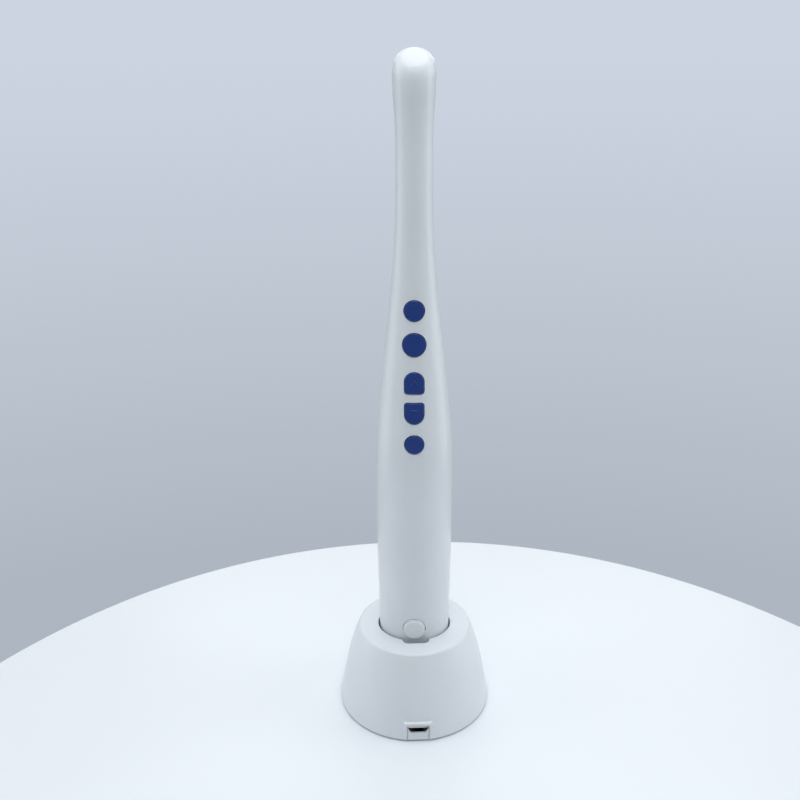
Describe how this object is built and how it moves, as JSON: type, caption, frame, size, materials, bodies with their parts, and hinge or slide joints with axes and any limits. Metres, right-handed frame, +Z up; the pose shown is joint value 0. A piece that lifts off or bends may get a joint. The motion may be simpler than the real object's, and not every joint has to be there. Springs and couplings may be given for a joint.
{
  "type": "intraoral camera",
  "caption": "Slim white wireless wand with blue keys and a lens in its head, standing upright in a round charging dock.",
  "frame": {"origin": "bottom centre of the dock, on the surface that it stands on", "axes": "+Z up along the handset; the keys of the handset face -Y"},
  "size_m": [0.0528, 0.0527, 0.2161],
  "materials": {
    "white_housing": "satin",
    "white_dock": "satin",
    "blue_key": "satin",
    "white_button": "satin",
    "black_plastic": "matte",
    "clear_window": "polished",
    "lens_glass": "polished",
    "lamp": "satin",
    "board_green": "satin",
    "chip_black": "matte",
    "bright_steel": "satin",
    "zinc_steel": "rough",
    "gold_contact": "polished",
    "bezel_metal": "satin",
    "battery_wrap": "satin",
    "flex_orange": "satin",
    "ceramic": "matte",
    "foot_rubber": "matte",
    "plate_white": "matte"
  },
  "bodies": {
    "camera_in_dock": {"front_shell": "white_housing", "rear_shell": "white_housing", "end_cap": "white_housing", "base_shell": "white_dock", "base_plate": "plate_white", "lens_bezel": "bezel_metal", "lens_window": "clear_window", "lens_element": "lens_glass", "lens_barrel": "black_plastic", "white_leds": "lamp", "led_board": "board_green", "sensor_board": "board_green", "main_board": "board_green", "power_board": "board_green", "dock_board": "board_green", "image_sensor": "chip_black", "processor": "chip_black", "radio_shield": "bright_steel", "antenna": "ceramic", "key_switches": "chip_black", "power_switch": "chip_black", "battery": "battery_wrap", "flex_cable": "flex_orange", "charge_contacts": "gold_contact", "contact_barrels": "gold_contact", "usb_shell": "bright_steel", "usb_tongue": "black_plastic", "ballast_weight": "zinc_steel", "base_screws": "bright_steel", "rubber_feet": "foot_rubber"},
    "freeze_key": {"freeze_button": "blue_key", "freeze_plunger": "ceramic"},
    "quad_key": {"quad_button": "blue_key", "quad_plunger": "ceramic"},
    "up_key": {"up_button": "blue_key", "up_plunger": "ceramic"},
    "down_key": {"down_button": "blue_key", "down_plunger": "ceramic"},
    "delete_key": {"delete_button": "blue_key", "delete_plunger": "ceramic"},
    "power_key": {"power_button": "white_button", "power_plunger": "ceramic"},
    "contact_pin_left": {"contact_pin_left": "gold_contact"},
    "contact_pin_right": {"contact_pin_right": "gold_contact"}
  },
  "joints": [
    {"name": "freeze_press", "type": "slide", "parent": "camera_in_dock", "child": "freeze_key", "axis": [0, 1, 0], "range_m": [0, 0.0004], "stiffness_N_per_m": 400, "springref_m": -0.001},
    {"name": "quad_press", "type": "slide", "parent": "camera_in_dock", "child": "quad_key", "axis": [0, 1, 0], "range_m": [0, 0.0004], "stiffness_N_per_m": 400, "springref_m": -0.001},
    {"name": "up_press", "type": "slide", "parent": "camera_in_dock", "child": "up_key", "axis": [0, 1, 0], "range_m": [0, 0.0004], "stiffness_N_per_m": 400, "springref_m": -0.001},
    {"name": "down_press", "type": "slide", "parent": "camera_in_dock", "child": "down_key", "axis": [0, 1, 0], "range_m": [0, 0.0004], "stiffness_N_per_m": 400, "springref_m": -0.001},
    {"name": "delete_press", "type": "slide", "parent": "camera_in_dock", "child": "delete_key", "axis": [0, 1, 0], "range_m": [0, 0.0004], "stiffness_N_per_m": 400, "springref_m": -0.001},
    {"name": "power_press", "type": "slide", "parent": "camera_in_dock", "child": "power_key", "axis": [0, 1, 0], "range_m": [0, 0.0003], "stiffness_N_per_m": 400, "springref_m": -0.001},
    {"name": "contact_pin_left_press", "type": "slide", "parent": "camera_in_dock", "child": "contact_pin_left", "axis": [0, 0, 1], "range_m": [-0.0005, 0], "stiffness_N_per_m": 100, "springref_m": 0.003},
    {"name": "contact_pin_right_press", "type": "slide", "parent": "camera_in_dock", "child": "contact_pin_right", "axis": [0, 0, 1], "range_m": [-0.0005, 0], "stiffness_N_per_m": 100, "springref_m": 0.003}
  ]
}
